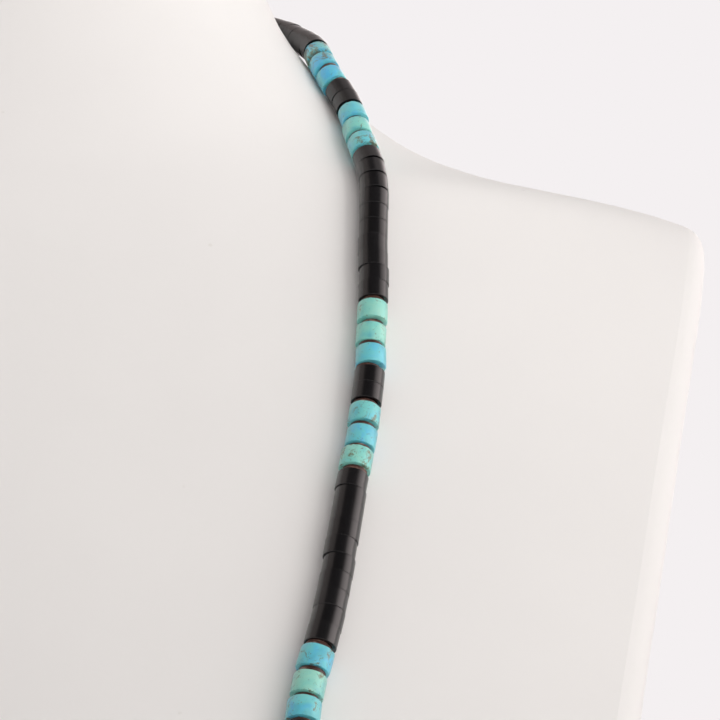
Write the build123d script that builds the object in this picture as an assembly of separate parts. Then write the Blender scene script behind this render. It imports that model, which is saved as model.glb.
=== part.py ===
from build123d import *
import math
import os

# Beaded necklace lying on a plain neck bust, in millimetres.
# The origin is the middle of the bust's flat base. +Z is up, the chest faces -Y,
# and +X is the side of the left shoulder of a person who would wear the necklace.

# Bust
bust_height = 250.0
shoulder_width = 208.0
base_width = 132.0
base_depth = 112.0
neck_width = 68.6
neck_depth = 44.6
neck_back = 15.2  # how far the neck's axis stands behind the middle of the base
shoulder_height = 155.0  # height of the shoulder corners
side_swell = 1.0  # how far each side edge swells past a straight line
side_rounding = 4.0
neck_rounding = 3.0

# Beads
bead_diameter = 4.0
black_length = 2.32
turquoise_length = 2.72
spacer_diameter = 3.1
spacer_length = 0.49
hole_diameter = 1.0
bead_edge = 0.15  # bevel round the ends of the black and the turquoise beads
long_count = 10
short_count = 2
turquoise_count = 3
least_bead_gap = 0.14  # the string takes as many beads as leave this much air between them

# Thread and clasp
thread_diameter = 0.5
clasp_length = 9.0
clasp_diameter = 4.0
clasp_end_diameter = 2.8
clasp_collar = 1.1  # length of the neck at each end of the clasp, and of the cone beside it
clasp_bore = 1.2  # wider than the beads' hole, because the thread bends in the straight clasp
thread_end_gap = 1.0  # between the two ends of the thread, inside the clasp
bust_gap = 0.3  # air between the beads and the bust

# Form of the bust, from the base to the top of the neck, as oval sections.
# back is a share of neck_back. In the chest rows height, width and depth are shares of
# shoulder_height, shoulder_width and base_depth. In the neck rows they are shares of the
# height above the shoulder corners, neck_width and neck_depth.
chest_rows = [
    # height, back, width, depth
    (0.000, 0.000, 1.230, 1.000),
    (0.305, -0.010, 1.260, 1.040),
    (0.611, 0.540, 1.260, 0.756),
    (0.875, 1.176, 1.210, 0.573),
    (1.003, 1.420, 0.995, 0.531),
    (1.031, 1.210, 0.777, 0.461),
    (1.059, 1.020, 0.622, 0.395),
]
neck_rows = [
    # height, back, width, depth
    (0.145, 1.020, 1.655, 0.962),
    (0.266, 1.080, 1.300, 0.960),
    (0.368, 1.115, 1.132, 0.970),
    (0.530, 1.150, 1.025, 0.985),
    (1.000, 1.150, 1.000, 0.985),
]
section_count = 40

# Half of the string's route over the bust, from the front centre to the nape:
# the angle round the neck's axis and the height.
string_route = [
    (0.0, 50.9),
    (11.4, 52.0),
    (22.1, 56.2),
    (30.9, 63.9),
    (36.9, 73.6),
    (41.2, 84.0),
    (47.4, 97.0),
    (53.2, 110.0),
    (59.3, 123.0),
    (64.3, 136.0),
    (68.3, 148.0),
    (71.0, 156.0),
    (75.0, 163.0),
    (79.3, 169.5),
    (83.1, 175.6),
    (89.5, 181.0),
    (99.5, 186.4),
    (110.0, 190.6),
    (122.0, 193.1),
    (138.5, 194.8),
    (164.5, 195.6),
]
arc_share = 0.45  # how much of the shorter run beside a corner its arc takes
seating_rounds = 3
slope_step = 0.1  # height step over which the bust's slope is measured


def bust_rows():
    # height, centre, half width and half depth of each row, in millimetres
    rows = []
    for height, back, width, depth in chest_rows:
        rows.append((height * shoulder_height, back * neck_back,
                     width * shoulder_width / 2, depth * base_depth / 2))
    rise = bust_height - shoulder_height
    for height, back, width, depth in neck_rows:
        rows.append((shoulder_height + height * rise, back * neck_back,
                     width * neck_width / 2, depth * neck_depth / 2))
    return rows


def row_slope(rows, index, column):
    # slope through a row, level where the column turns back, so nothing swings past
    if index == 0 or index == len(rows) - 1:
        return 0.0
    below, here, above = rows[index - 1], rows[index], rows[index + 1]
    rise_below = (here[column] - below[column]) / (here[0] - below[0])
    rise_above = (above[column] - here[column]) / (above[0] - here[0])
    if rise_below * rise_above <= 0:
        return 0.0
    return 2 * rise_below * rise_above / (rise_below + rise_above)


def oval_at(rows, height):
    # centre, half width and half depth at any height, on a smooth curve through the rows
    index = 0
    while index < len(rows) - 2 and height > rows[index + 1][0]:
        index += 1
    low, high = rows[index], rows[index + 1]
    step = high[0] - low[0]
    up = (height - low[0]) / step
    down = 1 - up
    oval = []
    for column in (1, 2, 3):
        low_slope = row_slope(rows, index, column)
        high_slope = row_slope(rows, index + 1, column)
        value = low[column] * down * down * (1 + 2 * up)
        value += high[column] * up * up * (1 + 2 * down)
        value += step * up * down * (low_slope * down - high_slope * up)
        oval.append(value)
    return oval


def make_bust(rows):
    sections = []
    for index in range(section_count):
        height = bust_height * index / (section_count - 1)
        centre, half_width, half_depth = oval_at(rows, height)
        oval = Location((0, centre, height)) * Ellipse(half_depth, half_width, rotation=90)
        sections.append(oval.face())
    bust = loft(sections) & side_outline()
    side_edges = []
    for edge in bust.edges():
        middle = edge.position_at(0.5)
        on_side = abs(middle.X) > base_width / 2 + side_rounding
        if on_side and middle.Z > side_rounding:
            side_edges.append(edge)
    bust = fillet(side_edges, side_rounding)
    return fillet(bust.edges().group_by(Axis.Z)[-1], neck_rounding)


def side_outline():
    # what the tapering sides leave of the body, seen from the front
    corner = (shoulder_width / 2, shoulder_height)
    foot = (base_width / 2, 0)
    slope = (corner[0] - foot[0]) / shoulder_height
    top = (corner[0] + slope * (bust_height - shoulder_height), bust_height)
    middle = ((top[0] + foot[0]) / 2 + side_swell, bust_height / 2)
    with BuildPart() as block:
        with BuildSketch(Plane.XZ):
            with BuildLine():
                Line((0, 0), foot)
                ThreePointArc(foot, middle, top)
                Line(top, (0, bust_height))
                mirror(about=Plane.YZ)
            make_face()
        extrude(amount=base_depth, both=True)
    return block.part


def on_bust(rows, angle, height):
    # where a level ray from the neck's axis leaves the bust, and the way out of the surface there
    centre, half_width, half_depth = oval_at(rows, height)
    across, forward = math.sin(math.radians(angle)), math.cos(math.radians(angle))
    offset = neck_back - centre
    square = (across / half_width) ** 2 + (forward / half_depth) ** 2
    linear = -offset * forward / half_depth ** 2
    constant = (offset / half_depth) ** 2 - 1
    reach = (-linear + math.sqrt(linear ** 2 - square * constant)) / square
    place = Vector(reach * across, neck_back - reach * forward, height)

    def fill(level):
        # 1 on the surface, more outside it
        middle, wide, deep = oval_at(rows, level)
        return (place.X / wide) ** 2 + ((place.Y - middle) / deep) ** 2

    rise = fill(height + slope_step) - fill(height - slope_step)
    outward = Vector(2 * place.X / half_width ** 2,
                     2 * (place.Y - centre) / half_depth ** 2,
                     rise / (2 * slope_step))
    return place, outward.normalized()


def half_turn(before, corner, after):
    return math.radians((corner - before).get_angle(after - corner)) / 2


def arc_radius(before, corner, after):
    run = min((corner - before).length, (after - corner).length)
    return arc_share * run / math.tan(half_turn(before, corner, after))


def arc_cut(before, corner, after):
    # how far the arc at a corner of the route passes inside it
    radius = arc_radius(before, corner, after)
    return radius / math.cos(half_turn(before, corner, after)) - radius


def route_corners(rows):
    # the closed route's corners, each moved out so that its arc passes at the bead's seat
    standoff = bead_diameter / 2 + bust_gap
    seats = []
    for angle, height in string_route:
        place, outward = on_bust(rows, angle, height)
        seats.append(place + outward * standoff)
    for angle, height in reversed(string_route[1:]):
        place, outward = on_bust(rows, -angle, height)
        seats.append(place + outward * standoff)
    corners = list(seats)
    for _ in range(seating_rounds):
        moved = []
        for index, corner in enumerate(corners):
            before = corners[index - 1]
            after = corners[(index + 1) % len(corners)]
            inside = (before - corner).normalized() + (after - corner).normalized()
            moved.append(seats[index] - inside.normalized() * arc_cut(before, corner, after))
        corners = moved
    return corners


def string_path(rows):
    # an open path that starts and ends inside the clasp, on the run past the nape
    corners = route_corners(rows)
    start_corner = len(string_route) + 1
    ordered = corners[start_corner:] + corners[:start_corner]
    run = ordered[0] - ordered[-1]
    clasp_middle = (ordered[0] + ordered[-1]) / 2
    half_gap = run.normalized() * (thread_end_gap / 2)
    radii = []
    for index, corner in enumerate(ordered):
        after = ordered[(index + 1) % len(ordered)]
        radii.append(arc_radius(ordered[index - 1], corner, after))
    print("smallest and largest arc of the string", round(min(radii), 1), round(max(radii), 1))
    points = [clasp_middle + half_gap] + ordered + [clasp_middle - half_gap]
    path = FilletPolyline(*points, radius=radii).wire()
    return path, Plane(clasp_middle, z_dir=run)


def bead_kinds(shapes, room):
    # the kinds of bead in their order round the string, from one side of the clasp to the other:
    # a short black group lies at the front centre, and the pattern grows from it on both sides
    turquoise_run = ["spacer"]
    for _ in range(turquoise_count):
        turquoise_run += ["turquoise", "spacer"]
    middle = ["black"] * short_count
    pattern = turquoise_run + ["black"] * long_count + turquoise_run + middle
    side_room = (room - least_bead_gap - short_count * (black_length + least_bead_gap)) / 2
    side = []
    while True:
        kind = pattern[len(side) % len(pattern)]
        side_room -= shapes[kind][1] + least_bead_gap
        if side_room < 0:
            break
        side.append(kind)
    return side[::-1] + middle + side


def bead(diameter, length, edge):
    body = Cylinder(diameter / 2, length)
    if edge > 0:
        body = chamfer(body.edges().filter_by(GeomType.CIRCLE), edge)
    return body - Cylinder(hole_diameter / 2, length)


def bead_shapes():
    return {
        "black": (bead(bead_diameter, black_length, bead_edge), black_length),
        "turquoise": (bead(bead_diameter, turquoise_length, bead_edge), turquoise_length),
        "spacer": (bead(spacer_diameter, spacer_length, 0), spacer_length),
    }


def string_beads(path):
    # the beads spread evenly along the path, from one end of the clasp to the other
    shapes = bead_shapes()
    clasp_reach = (clasp_length - thread_end_gap) / 2
    room = path.length - 2 * clasp_reach
    kinds = bead_kinds(shapes, room)
    filled = sum(shapes[kind][1] for kind in kinds)
    gap = (room - filled) / (len(kinds) + 1)
    print("beads", len(kinds), "string length", round(path.length + thread_end_gap, 1),
          "gap between beads", round(gap, 4))
    strings = {kind: [] for kind in shapes}
    along = clasp_reach + gap
    for kind in kinds:
        shape, length = shapes[kind]
        share = (along + length / 2) / path.length
        seat = Plane(path.position_at(share), z_dir=path.tangent_at(share))
        strings[kind].append(seat.location * shape)
        along += length + gap
    return strings


def make_clasp(seat):
    # a barrel with a neck at each end, bored for the thread
    half = clasp_length / 2
    rim = clasp_end_diameter / 2
    barrel = clasp_diameter / 2
    bore = clasp_bore / 2
    neck = half - clasp_collar
    cone = neck - clasp_collar
    outline = [(bore, -half), (rim, -half), (rim, -neck), (barrel, -cone),
               (barrel, cone), (rim, neck), (rim, half), (bore, half)]
    face = make_face(Plane.XZ * Polyline(*outline, close=True))
    return seat.location * revolve(face, Axis.Z)


def export(node, shapes):
    shape = Compound(children=shapes) if len(shapes) > 1 else shapes[0]
    export_step(shape, f"parts/{node}.step")


def main():
    os.makedirs("parts", exist_ok=True)
    rows = bust_rows()
    bust = make_bust(rows)
    print("bust volume", round(bust.volume))
    path, clasp_seat = string_path(rows)
    strings = string_beads(path)
    cut = Plane(path.position_at(0), z_dir=path.tangent_at(0)) * Circle(thread_diameter / 2)
    thread = sweep(cut, path=path)
    print("thread volume", round(thread.volume, 2), "section times length",
          round(math.pi * thread_diameter ** 2 / 4 * path.length, 2))
    export("neck_bust", [bust])
    export("black_beads", strings["black"])
    export("turquoise_beads", strings["turquoise"])
    export("brown_spacers", strings["spacer"])
    export("thread", [thread])
    export("clasp", [make_clasp(clasp_seat)])


main()
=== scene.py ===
import bmesh
import bpy
import math
import random
from mathutils import Matrix, Vector


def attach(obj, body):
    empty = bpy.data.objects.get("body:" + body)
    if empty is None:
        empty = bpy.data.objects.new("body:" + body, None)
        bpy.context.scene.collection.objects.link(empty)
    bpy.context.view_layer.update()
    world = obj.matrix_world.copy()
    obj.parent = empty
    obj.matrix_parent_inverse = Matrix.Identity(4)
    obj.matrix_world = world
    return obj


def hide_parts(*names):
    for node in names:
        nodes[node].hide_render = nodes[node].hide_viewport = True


# A string of black, turquoise and brown beads on a white neck bust.
# Lengths are in metres unless a name or a note says millimetres.

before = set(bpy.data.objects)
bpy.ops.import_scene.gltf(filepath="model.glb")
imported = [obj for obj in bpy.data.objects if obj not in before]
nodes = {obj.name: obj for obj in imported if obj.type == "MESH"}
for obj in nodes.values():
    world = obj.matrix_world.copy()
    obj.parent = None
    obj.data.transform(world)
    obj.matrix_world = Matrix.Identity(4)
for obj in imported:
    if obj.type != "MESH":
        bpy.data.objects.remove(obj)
scene = bpy.context.scene
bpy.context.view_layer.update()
print("frame loaded:", ", ".join(sorted(nodes)))


# Shader helpers

def linearColour(code):
    # an sRGB hex colour as the linear red, green, blue and alpha that a shader takes
    parts = [int(code[start:start + 2], 16) / 255 for start in (1, 3, 5)]
    return [part / 12.92 if part <= 0.04045 else ((part + 0.055) / 1.055) ** 2.4 for part in parts] + [1]


def addNode(tree, kind, settings=None, sockets=None):
    # a socket is given a value, or another node's output to be linked to
    node = tree.nodes.new(kind)
    for name, value in (settings or {}).items():
        setattr(node, name, value)
    for name, value in (sockets or {}).items():
        if isinstance(value, bpy.types.NodeSocket):
            tree.links.new(value, node.inputs[name])
        else:
            node.inputs[name].default_value = value
    return node


def newMaterial(name):
    material = bpy.data.materials.new(name)
    material.use_nodes = True
    tree = material.node_tree
    return material, tree, tree.nodes["Principled BSDF"]


def remap(tree, value, start, end, low=0, high=1, kind="SMOOTHSTEP"):
    # goes from low to high while the value goes from start to end
    step = addNode(tree, "ShaderNodeMapRange", {"interpolation_type": kind}, {
        "Value": value, "From Min": start, "From Max": end, "To Min": low, "To Max": high})
    return step.outputs["Result"]


def noise(tree, place, scale, detail, roughness=0.5, distortion=0):
    # cloudy patches; in millimetre coordinates they are about 1 / scale millimetres wide
    cloud = addNode(tree, "ShaderNodeTexNoise", sockets={
        "Vector": place, "Scale": scale, "Detail": detail, "Roughness": roughness, "Distortion": distortion})
    return cloud.outputs["Fac"]


def multiplyAdd(tree, value, factor, added):
    total = addNode(tree, "ShaderNodeMath", {"operation": "MULTIPLY_ADD"}, {0: value, 1: factor, 2: added})
    return total.outputs[0]


def mixColour(tree, share, first, second):
    mixed = addNode(tree, "ShaderNodeMix", {"data_type": "RGBA"}, {"Factor": share, "A": first, "B": second})
    return mixed.outputs["Result"]


def colourRamp(tree, value, stops):
    # stops are pairs of a place from 0 to 1 and a hex colour
    node = addNode(tree, "ShaderNodeValToRGB", sockets={"Fac": value})
    ramp = node.color_ramp
    while len(ramp.elements) < len(stops):
        ramp.elements.new(1)
    for element, (place, code) in zip(ramp.elements, stops):
        element.position = place
        element.color = linearColour(code)
    return node.outputs["Color"]


def addBump(tree, shader, height, strength, depth, invert=False):
    bump = addNode(tree, "ShaderNodeBump", {"invert": invert}, {
        "Strength": strength, "Distance": depth, "Height": height})
    tree.links.new(bump.outputs["Normal"], shader.inputs["Normal"])


def stretched(tree, place, scale):
    return addNode(tree, "ShaderNodeMapping", sockets={"Vector": place, "Scale": scale}).outputs[0]


def bodyPlace(tree):
    # a place on the bust or the thread, in millimetres
    return stretched(tree, addNode(tree, "ShaderNodeTexCoord").outputs["Object"], (1000, 1000, 1000))


def stonePlace(tree):
    # a place on a bead's own stone, in millimetres, with z along the bead's hole
    return addNode(tree, "ShaderNodeAttribute", {"attribute_name": "stonePatch"}).outputs["Vector"]


def stoneTint(tree):
    return addNode(tree, "ShaderNodeAttribute", {"attribute_name": "stoneTint"}).outputs["Fac"]


# Camera and light

studio = {
    "cameraPlace": (0.05285, -0.26899, 0.0899),
    "cameraTilt": 9,  # degrees above level
    "lens": 97.5,
    "backdrop": "#f4f0f1",
    "floor": "#f0eeec",
    "floorSize": 1.6,
    "floorSides": 64,
    "floorDrop": 0.0004,  # how far the floor lies under the bust's base
    "floorFade": (0.25, 0.7),  # how far from the bust the card starts and ends blending with the backdrop
    "softboxes": {  # place and watts of each; all are squares of the same size
        "windowSoftbox": ((0.875, -0.306, 0.185), 1.96),
        "frontSoftbox": ((0.477, -0.76, 0.319), 4.68),
        "topSoftbox": ((0.485, -0.273, 0.867), 2.32),
    },
    "softboxSize": 1,
    "aim": (0.03, 0, 0.14),
    "neckSpot": {  # a narrow soft pool of light on the throat
        "place": (0.4, -0.45, 0.3),
        "aim": (0.035, -0.02, 0.168),
        "watts": 2.1,
        "width": 13,  # degrees
        "softness": 0.05,
    },
    "fill": 0.25,
}

bpy.ops.object.camera_add(location=studio["cameraPlace"],
                          rotation=(math.radians(90 + studio["cameraTilt"]), 0, 0))
camera = bpy.context.object
camera.data.lens = studio["lens"]
camera.data.sensor_width = 36
camera.data.clip_start = 0.01
scene.camera = camera
scene.view_settings.view_transform = "Standard"  # keeps the whites as light as they are measured


def addLamp(kind, name, place, target, watts):
    way = Vector(target) - Vector(place)
    bpy.ops.object.light_add(type=kind, location=place, rotation=way.to_track_quat("-Z", "Y").to_euler())
    lamp = bpy.context.object
    lamp.name = name
    lamp.data.energy = watts
    lamp.visible_glossy = False  # the room below is what the beads mirror
    return lamp


for name, (place, watts) in studio["softboxes"].items():
    softbox = addLamp("AREA", name, place, studio["aim"], watts)
    softbox.data.shape = "SQUARE"
    softbox.data.size = studio["softboxSize"]
    softbox.data.color = linearColour("#fffdfb")[:3]
    softbox.visible_camera = False

pool = studio["neckSpot"]
neckSpot = addLamp("SPOT", "neckSpot", pool["place"], pool["aim"], pool["watts"])
neckSpot.data.spot_size = math.radians(pool["width"])
neckSpot.data.spot_blend = 1
neckSpot.data.shadow_soft_size = pool["softness"]

mirroredRoom = {  # how bright the beads see the room, by the direction in which they mirror it
    "darkWay": (0.05, -1, 0),  # the dim side, behind the camera
    "darkEdge": (0.36, 0.64),  # nearness to that direction where the dim side starts and is complete
    "darkLight": 0.16,
    "sideEdge": (-0.4, 0.6),
    "sideLight": (0.62, 2.3),  # at the left and at the right
    "ceilingEdge": (0.35, 0.8),
    "ceilingLight": 0.5,
    "flattening": (1, 1, 0.25),  # so that a bead that leans mirrors much the same as an upright one
    "leftColour": "#ffece0",
    "rightColour": "#fff3f1",
}

world = bpy.data.worlds.new("studioRoom")
scene.world = world
world.use_nodes = True
room = world.node_tree
room.nodes.clear()
direction = addNode(room, "ShaderNodeTexCoord").outputs["Generated"]
flat = addNode(room, "ShaderNodeVectorMath", {"operation": "MULTIPLY"},
               {0: direction, 1: mirroredRoom["flattening"]})
level = addNode(room, "ShaderNodeVectorMath", {"operation": "NORMALIZE"}, {0: flat.outputs[0]})
facing = addNode(room, "ShaderNodeVectorMath", {"operation": "DOT_PRODUCT"},
                 {0: level.outputs[0], 1: Vector(mirroredRoom["darkWay"]).normalized()})
dark = remap(room, facing.outputs["Value"], *mirroredRoom["darkEdge"], 1, mirroredRoom["darkLight"])
across = addNode(room, "ShaderNodeSeparateXYZ", sockets={"Vector": level.outputs[0]}).outputs["X"]
sides = remap(room, across, *mirroredRoom["sideEdge"], *mirroredRoom["sideLight"])
upward = addNode(room, "ShaderNodeSeparateXYZ", sockets={"Vector": direction}).outputs["Z"]
ceiling = remap(room, upward, *mirroredRoom["ceilingEdge"])
above = addNode(room, "ShaderNodeMix", sockets={
    "Factor": ceiling, "A": sides, "B": mirroredRoom["ceilingLight"]}).outputs["Result"]
mirrorLight = addNode(room, "ShaderNodeMath", {"operation": "MULTIPLY"}, {0: dark, 1: above}).outputs[0]
mirrorTint = mixColour(room, sides, linearColour(mirroredRoom["leftColour"]),
                       linearColour(mirroredRoom["rightColour"]))
mirrored = addNode(room, "ShaderNodeBackground", sockets={"Color": mirrorTint, "Strength": mirrorLight})
fillLight = addNode(room, "ShaderNodeBackground", sockets={
    "Color": linearColour("#fffdfd"), "Strength": studio["fill"]})
seen = addNode(room, "ShaderNodeBackground", sockets={
    "Color": linearColour(studio["backdrop"]), "Strength": 1})
rays = addNode(room, "ShaderNodeLightPath")
glossy = addNode(room, "ShaderNodeMixShader", sockets={
    0: rays.outputs["Is Glossy Ray"], 1: fillLight.outputs[0], 2: mirrored.outputs[0]})
direct = addNode(room, "ShaderNodeMixShader", sockets={
    0: rays.outputs["Is Camera Ray"], 1: glossy.outputs[0], 2: seen.outputs[0]})
addNode(room, "ShaderNodeOutputWorld", sockets={"Surface": direct.outputs[0]})

seamlessPaper, paperTree, paperShader = newMaterial("seamlessPaper")  # matt card, evenly lit from all sides
paperShader.inputs["Base Color"].default_value = linearColour(studio["floor"])
paperShader.inputs["Roughness"].default_value = 0.9
paperShader.inputs["Specular IOR Level"].default_value = 0.1
paperPlace = addNode(paperTree, "ShaderNodeTexCoord").outputs["Object"]
distance = addNode(paperTree, "ShaderNodeVectorMath", {"operation": "LENGTH"}, {0: paperPlace})
fade = remap(paperTree, distance.outputs["Value"], *studio["floorFade"])
paperGlow = addNode(paperTree, "ShaderNodeEmission", sockets={
    "Color": linearColour(studio["backdrop"]), "Strength": 1})
blend = addNode(paperTree, "ShaderNodeMixShader", sockets={
    0: fade, 1: paperShader.outputs[0], 2: paperGlow.outputs[0]})
paperTree.links.new(blend.outputs[0], paperTree.nodes["Material Output"].inputs["Surface"])
bpy.ops.object.select_all(action="DESELECT")
bpy.ops.mesh.primitive_circle_add(vertices=studio["floorSides"], radius=studio["floorSize"],
                                  fill_type="NGON", location=(0, 0, -studio["floorDrop"]))
paperFloor = bpy.context.object
paperFloor.name = "paperFloor"
paperFloor.data.materials.append(seamlessPaper)
print("camera, light and floor made")


# Finishes

def makeBustLacquer():
    # White matt lacquer sprayed on a cast bust: even and soft, with a faint orange peel,
    # and a few small, faint dents from handling, darkened with painted shade.
    material, tree, shader = newMaterial("sprayedMattLacquer")
    place = bodyPlace(tree)
    tone = colourRamp(tree, noise(tree, place, 0.03, 2), [(0.3, "#eeebe9"), (0.7, "#f1eeec")])
    spots = addNode(tree, "ShaderNodeTexVoronoi", sockets={
        "Vector": place, "Scale": 0.11, "Randomness": 1}).outputs["Distance"]  # one spot for each 9 mm
    ragged = multiplyAdd(tree, noise(tree, place, 1.5, 2), 0.09, spots)
    dentAndShade = remap(tree, ragged, 0.05, 0.08, 0.3, 0)
    # painted shade: each dent's colour is darkened toward a grey beige
    toneWithDentShade = mixColour(tree, dentAndShade, tone, linearColour("#d6d1ca"))
    tree.links.new(toneWithDentShade, shader.inputs["Base Color"])
    peel = noise(tree, place, 0.9, 3, 0.6)
    dented = multiplyAdd(tree, dentAndShade, -1.2, peel)
    addBump(tree, shader, dented, 0.05, 0.0003)
    shader.inputs["Roughness"].default_value = 0.55
    shader.inputs["IOR"].default_value = 1.46
    return material


def makeJet():
    # Black jet, ground round on the string and given a satin polish: it mirrors large lights softly,
    # and fine rings of grinding marks show in them.
    material, tree, shader = newMaterial("satinBlackJet")
    place = stonePlace(tree)
    cloud = noise(tree, place, 0.9, 3)
    tone = addNode(tree, "ShaderNodeMath", {"operation": "MULTIPLY"}, {0: cloud, 1: stoneTint(tree)})
    colour = colourRamp(tree, tone.outputs[0], [(0.1, "#08080a"), (0.8, "#131214")])
    tree.links.new(colour, shader.inputs["Base Color"])
    marks = noise(tree, stretched(tree, place, (0.5, 0.5, 9)), 1.5, 4)
    tree.links.new(remap(tree, marks, 0.3, 0.7, 0.2, 0.26, "LINEAR"), shader.inputs["Roughness"])
    addBump(tree, shader, marks, 0.05, 0.00002)
    shader.inputs["IOR"].default_value = 1.64
    return material


turquoiseStone = {
    "colours": [(0.15, "#98d8c6"), (0.4, "#84d3c6"), (0.62, "#74cdcb"), (0.82, "#66c9d6"), (1, "#54bbe4")],
    "deepColour": "#4fb0bd",
    "deepMost": 0.7,
    "rockColour": "#6b623c",
    "smudgeEdge": (0.765, 0.86),
    "smudgeMost": 0.85,
    "speckEdge": (0.62, 0.71),
    "speckMost": 0.7,
    "pitDepth": 0.00005,
}


def makeTurquoise():
    # Polished turquoise: an opaque waxy stone that goes from green to sky blue,
    # with brown lines and spots of the rock it grew in.
    look = turquoiseStone
    material, tree, shader = newMaterial("polishedTurquoise")
    place = stonePlace(tree)
    cloud = noise(tree, place, 0.4, 4, 0.6, 0.5)
    colour = colourRamp(tree, multiplyAdd(tree, cloud, 1.1, stoneTint(tree)), look["colours"])
    deep = remap(tree, noise(tree, place, 0.33, 3, 0.55), 0.5, 0.72, 0, look["deepMost"])
    body = mixColour(tree, deep, colour, linearColour(look["deepColour"]))
    rocky = noise(tree, place, 0.05, 0)  # nearly even within a bead, and another in the next
    matrix = noise(tree, place, 0.62, 6, 0.72, 1.0)
    smudge = remap(tree, multiplyAdd(tree, rocky, 0.4, matrix), *look["smudgeEdge"], 0, look["smudgeMost"])
    grit = noise(tree, place, 2.4, 3, 0.7)
    speck = remap(tree, grit, *look["speckEdge"], 0, look["speckMost"])
    rock = addNode(tree, "ShaderNodeMath", {"operation": "MAXIMUM"}, {0: smudge, 1: speck}).outputs[0]
    veined = mixColour(tree, rock, body, linearColour(look["rockColour"]))
    tree.links.new(veined, shader.inputs["Base Color"])
    addBump(tree, shader, rock, 0.25, look["pitDepth"], True)
    shader.inputs["Roughness"].default_value = 0.36
    shader.inputs["IOR"].default_value = 1.61
    shader.inputs["Coat Weight"].default_value = 0.5  # wax
    shader.inputs["Coat Roughness"].default_value = 0.3
    return material


def makeShell():
    # Brown shell, cut into thin discs and polished: reddish brown with pale growth lines, whose palest tone
    # is also painted highlight.
    material, tree, shader = newMaterial("polishedBrownShell")
    growthAndHighlight = noise(tree, stretched(tree, stonePlace(tree), (1, 1, 4)), 0.8, 4, 0.6)
    # painted highlight: the palest stop stands for glints as well as the shell's own pale bits
    colour = colourRamp(tree, growthAndHighlight, [(0.32, "#2c1916"), (0.56, "#54362e"), (0.74, "#b39184")])
    tree.links.new(colour, shader.inputs["Base Color"])
    addBump(tree, shader, growthAndHighlight, 0.3, 0.00003)
    shader.inputs["Roughness"].default_value = 0.32
    shader.inputs["IOR"].default_value = 1.53
    return material


def makeSilver():
    # Silver, brushed and slightly tarnished in patches.
    material, tree, shader = newMaterial("brushedSilver")
    place = stonePlace(tree)
    brushed = noise(tree, stretched(tree, place, (1, 1, 14)), 1.5, 3)
    tarnish = noise(tree, place, 0.5, 3)
    colour = colourRamp(tree, tarnish, [(0.35, "#bdb8b0"), (0.6, "#e2dfda")])
    tree.links.new(colour, shader.inputs["Base Color"])
    tree.links.new(remap(tree, brushed, 0.3, 0.7, 0.2, 0.4, "LINEAR"), shader.inputs["Roughness"])
    shader.inputs["Metallic"].default_value = 1
    return material


def makeNylon():
    # Black nylon bead thread, braided and waxed, of strands about 0.16 mm wide, with painted shade darkening
    # the crevices between the strands.
    material, tree, shader = newMaterial("waxedNylonThread")
    braidAndCreviceShade = addNode(tree, "ShaderNodeTexVoronoi", sockets={
        "Vector": bodyPlace(tree), "Scale": 6}).outputs["Distance"]
    # painted shade: darker towards each strand's edge, where the bump sinks between strands
    tree.links.new(colourRamp(tree, braidAndCreviceShade, [(0, "#35322f"), (0.8, "#151413")]), shader.inputs["Base Color"])
    addBump(tree, shader, braidAndCreviceShade, 0.5, 0.00004, True)
    shader.inputs["Roughness"].default_value = 0.5
    shader.inputs["IOR"].default_value = 1.53
    return material


nodes["neck_bust"].material_slots[0].material = makeBustLacquer()
nodes["thread"].material_slots[0].material = makeNylon()
print("bust and thread finished")


# Beads

beadWork = {
    "weld": 1e-6,  # points of the CAD mesh nearer than this are one
    "endFacing": 0.9,  # a face whose normal has more than this share along the hole belongs to an end
    "rimAngle": 1.2,  # radians; the edges round an end and round the hole are sharper than this
    "nearEnd": 0.99,  # share of half the length beyond which a point belongs to an end
    "rimReach": 1.1,  # widths of the rim's bevel that still count as the rim
    "rimRadius": 0.4,  # share of the diameter outside which a point belongs to the rim
    "wearEvenness": 0.3,
    "patchReach": 90,  # millimetres over which the stones' patches are taken from the pattern
}


def pickFaces(piece, test):
    mesh = bmesh.from_edit_mesh(piece.data)
    for face in mesh.faces:
        face.select_set(test(face))
    bmesh.update_edit_mesh(piece.data)


def pickEdges(piece, test):
    mesh = bmesh.from_edit_mesh(piece.data)
    for edge in mesh.edges:
        edge.select_set(test(edge))
    bmesh.update_edit_mesh(piece.data)


def looseSeats(node):
    # the middle of each loose piece of a CAD node, and the way its flat ends face
    bpy.ops.object.select_all(action="DESELECT")
    copy = bpy.data.objects.new("seatCopy", node.data.copy())
    scene.collection.objects.link(copy)
    copy.select_set(True)
    bpy.context.view_layer.objects.active = copy
    bpy.ops.object.mode_set(mode="EDIT")
    bpy.ops.mesh.select_all(action="SELECT")
    bpy.ops.mesh.remove_doubles(threshold=beadWork["weld"])
    bpy.ops.mesh.separate(type="LOOSE")
    bpy.ops.object.mode_set(mode="OBJECT")
    seats = []
    for part in list(bpy.context.selected_objects):
        seats.append(seatOf(part.data))
        bpy.data.objects.remove(part)
    return seats


def seatOf(mesh):
    facing = {}
    for face in mesh.polygons:
        normal = face.normal if tuple(face.normal) > (0, 0, 0) else -face.normal
        key = tuple(round(value, 1) for value in normal)
        area, total = facing.get(key, (0, Vector()))
        facing[key] = (area + face.area, total + normal * face.area)
    axis = max(facing.values(), key=lambda entry: entry[0])[1].normalized()
    side = axis.orthogonal().normalized()
    third = axis.cross(side)
    middle = Vector()
    for way in (axis, side, third):
        reach = [vertex.co.dot(way) for vertex in mesh.vertices]
        middle += way * (min(reach) + max(reach)) / 2
    return middle, axis


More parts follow.
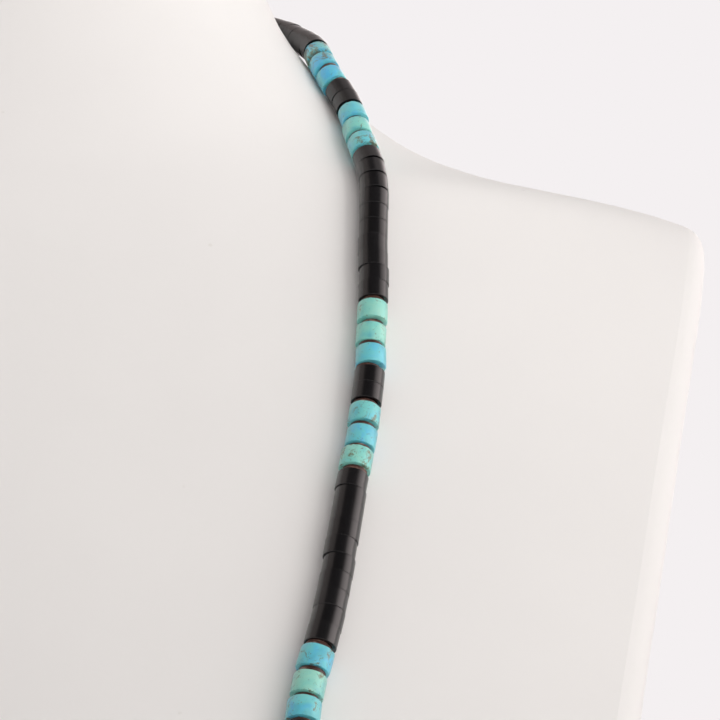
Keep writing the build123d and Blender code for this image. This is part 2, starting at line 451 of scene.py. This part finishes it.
def modelBead(name, look):
    bpy.ops.object.select_all(action="DESELECT")
    bpy.ops.mesh.primitive_cylinder_add(vertices=look["sides"], radius=look["diameter"] / 2,
                                        depth=look["length"], end_fill_type="NGON")
    bead = bpy.context.object
    bead.name = name
    bpy.ops.object.mode_set(mode="EDIT")
    bpy.ops.mesh.select_mode(type="FACE")
    pickFaces(bead, lambda face: abs(face.normal.z) > beadWork["endFacing"])
    bpy.ops.mesh.inset(thickness=(look["diameter"] - look["hole"]) / 2)
    bpy.ops.mesh.bridge_edge_loops()
    bpy.ops.mesh.select_mode(type="EDGE")
    endStart = look["length"] / 2 * beadWork["nearEnd"]
    pickEdges(bead, lambda edge: edge.calc_face_angle(0) > beadWork["rimAngle"]
              and all(abs(vertex.co.z) > endStart and vertex.co.xy.length > look["hole"]
                      for vertex in edge.verts))
    bpy.ops.mesh.bevel(offset=look["edge"], segments=look["edgeSteps"], affect="EDGES")
    bpy.ops.mesh.select_all(action="SELECT")
    bpy.ops.mesh.normals_make_consistent(inside=False)
    bpy.ops.object.mode_set(mode="OBJECT")
    bpy.ops.object.shade_smooth_by_angle(angle=math.radians(look["smoothAngle"]))
    return bead


def wearBead(bead, look, chance):
    # knocks the rim's corners about a little, as on stones that were ground by hand
    bpy.ops.object.select_all(action="DESELECT")
    bead.select_set(True)
    bpy.context.view_layer.objects.active = bead
    bpy.ops.object.mode_set(mode="EDIT")
    bpy.ops.mesh.select_mode(type="VERT")
    mesh = bmesh.from_edit_mesh(bead.data)
    rimStart = look["length"] / 2 - look["edge"] * beadWork["rimReach"]
    rimInside = look["diameter"] * beadWork["rimRadius"]
    for vertex in mesh.verts:
        onRim = abs(vertex.co.z) > rimStart and vertex.co.xy.length > rimInside
        vertex.select_set(onRim and chance.random() < look["wornShare"])
    bmesh.update_edit_mesh(bead.data)
    bpy.ops.transform.vertex_random(offset=look["wear"], uniform=beadWork["wearEvenness"],
                                    seed=chance.randrange(1, 9999))
    bpy.ops.object.mode_set(mode="OBJECT")


def stringBeads(name, node, look, finish):
    # one modelled bead, copied to each seat with its own small differences
    chance = random.Random(look["seed"])
    model = modelBead(name + "Model", look)
    model.data.materials.append(finish)
    beads = []
    for middle, axis in looseSeats(nodes[node]):
        bead = bpy.data.objects.new(name, model.data.copy())
        scene.collection.objects.link(bead)
        if look["wear"] > 0:
            wearBead(bead, look, chance)
        mesh = bead.data
        start = Vector([chance.uniform(-beadWork["patchReach"], beadWork["patchReach"]) for _ in range(3)])
        patch = mesh.attributes.new("stonePatch", "FLOAT_VECTOR", "POINT")
        for index, vertex in enumerate(mesh.vertices):
            patch.data[index].vector = vertex.co * 1000 + start
        tint = mesh.attributes.new("stoneTint", "FLOAT", "POINT")
        shade = chance.uniform(*look["tint"])
        for entry in tint.data:
            entry.value = shade
        width = 1 + chance.uniform(-1, 1) * look["widthSpread"]
        lean = Vector((chance.gauss(0, 1), chance.gauss(0, 1), 0)) * math.radians(look["lean"])
        slip = Vector((chance.gauss(0, 1), chance.gauss(0, 1), 0)) * look["slip"]
        slip.length = min(slip.length, look["mostSlip"])
        turn = axis.to_track_quat("Z", "Y").to_matrix().to_4x4()
        own = (Matrix.Rotation(lean.x, 4, "X") @ Matrix.Rotation(lean.y, 4, "Y")
               @ Matrix.Rotation(chance.uniform(0, math.tau), 4, "Z") @ Matrix.Diagonal((width, width, 1, 1)))
        mesh.transform(Matrix.Translation(middle) @ turn @ Matrix.Translation(slip) @ own)
        beads.append(bead)
    bpy.data.objects.remove(model)
    bpy.ops.object.select_all(action="DESELECT")
    for bead in beads:
        bead.select_set(True)
    bpy.context.view_layer.objects.active = beads[0]
    bpy.ops.object.join()
    strand = bpy.context.object
    strand.name = name
    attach(strand, "root")
    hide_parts(node)
    print(name, len(beads), "beads,", len(strand.data.polygons), "faces")
    return strand


blackLook = {
    "diameter": 0.00402, "length": 0.00246, "hole": 0.001, "edge": 0.00004, "edgeSteps": 1, "sides": 22,
    "smoothAngle": 30, "wear": 0, "wornShare": 0, "tint": (0.3, 1.4), "widthSpread": 0.012,
    "lean": 0.5, "slip": 0.00005, "mostSlip": 0.00016, "seed": 4,
}
turquoiseLook = {
    "diameter": 0.00406, "length": 0.00278, "hole": 0.001, "edge": 0.00015, "edgeSteps": 2, "sides": 28,
    "smoothAngle": 40, "wear": 0.00006, "wornShare": 0.5, "tint": (-0.32, 0.36), "widthSpread": 0.025,
    "lean": 1.1, "slip": 0.00009, "mostSlip": 0.0002, "seed": 11,
}
shellLook = {
    "diameter": 0.00312, "length": 0.00058, "hole": 0.001, "edge": 0.00006, "edgeSteps": 1, "sides": 20,
    "smoothAngle": 30, "wear": 0, "wornShare": 0, "tint": (0, 1), "widthSpread": 0.06,
    "lean": 0.8, "slip": 0.00009, "mostSlip": 0.0002, "seed": 23,
}

blackStrand = stringBeads("blackStrand", "black_beads", blackLook, makeJet())
turquoiseStrand = stringBeads("turquoiseStrand", "turquoise_beads", turquoiseLook, makeTurquoise())
spacerStrand = stringBeads("spacerStrand", "brown_spacers", shellLook, makeShell())


# Clasp

claspLook = {
    "bore": 0.0012,
    "sides": 32,
    # place along the clasp and radius in millimetres, from the middle to one end; the rest is its mirror
    "halfOutline": [(0.12, 1.97), (2.2, 1.97), (2.45, 1.85), (3.4, 1.25), (3.6, 1.25), (3.75, 1.4),
                    (4.35, 1.4), (4.5, 1.3), (4.5, 0.75)],
    "jointRadius": 1.84,  # millimetres, in the groove where the halves meet
    "fluteDepth": 0.00012,
    "fluteRim": 0.00009,
    "fluteRun": (0.0003, 0.0021),  # how far from the middle the flutes start and end
    "fluteRadius": 0.0018,
    "smoothAngle": 28,
}


def isFlute(face):
    # every other face round the barrel, apart from the groove in the middle
    middle = face.calc_center_median()
    start, end = claspLook["fluteRun"]
    onBarrel = start < abs(middle.z) < end and middle.xy.length > claspLook["fluteRadius"]
    side = math.atan2(middle.y, middle.x) / (math.tau / claspLook["sides"])
    return onBarrel and round(side - 0.5) % 2 == 0


def modelClasp():
    # a barrel in two halves that screw together, with milled sides and a collar at each end
    look = claspLook
    half = look["halfOutline"]
    outline = [(-place, radius) for place, radius in reversed(half)] + [(0, look["jointRadius"])] + half
    boreRadius = look["bore"] * 500  # millimetres
    bpy.ops.object.select_all(action="DESELECT")
    bpy.ops.mesh.primitive_circle_add(vertices=look["sides"], radius=look["bore"] / 2,
                                      location=(0, 0, outline[0][0] / 1000))
    clasp = bpy.context.object
    clasp.name = "barrelClasp"
    bpy.ops.object.transform_apply(location=True, rotation=False, scale=False)
    bpy.ops.object.mode_set(mode="EDIT")
    bpy.ops.mesh.select_all(action="SELECT")
    height, radius = outline[0][0], boreRadius
    for nextHeight, nextRadius in outline + [(outline[-1][0], boreRadius)]:
        widening = nextRadius / radius
        rise = (nextHeight - height) / 1000
        bpy.ops.mesh.extrude_edges_move(TRANSFORM_OT_translate={"value": (0, 0, rise)})
        bpy.ops.transform.resize(value=(widening, widening, 1), center_override=(0, 0, nextHeight / 1000))
        height, radius = nextHeight, nextRadius
    pickEdges(clasp, lambda edge: edge.is_boundary)
    bpy.ops.mesh.select_mode(type="EDGE")
    bpy.ops.mesh.bridge_edge_loops()
    bpy.ops.mesh.select_all(action="SELECT")
    bpy.ops.mesh.normals_make_consistent(inside=False)
    bpy.ops.mesh.select_mode(type="FACE")
    pickFaces(clasp, isFlute)
    bpy.ops.mesh.inset(thickness=look["fluteRim"], depth=-look["fluteDepth"], use_individual=True)
    bpy.ops.object.mode_set(mode="OBJECT")
    bpy.ops.object.shade_smooth_by_angle(angle=math.radians(look["smoothAngle"]))
    patch = clasp.data.attributes.new("stonePatch", "FLOAT_VECTOR", "POINT")
    for index, vertex in enumerate(clasp.data.vertices):
        patch.data[index].vector = vertex.co * 1000
    middle, axis = looseSeats(nodes["clasp"])[0]
    clasp.data.transform(Matrix.Translation(middle) @ axis.to_track_quat("Z", "Y").to_matrix().to_4x4())
    clasp.data.materials.append(makeSilver())
    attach(clasp, "root")
    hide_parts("clasp")
    print("clasp", len(clasp.data.polygons), "faces")
    return clasp


barrelClasp = modelClasp()
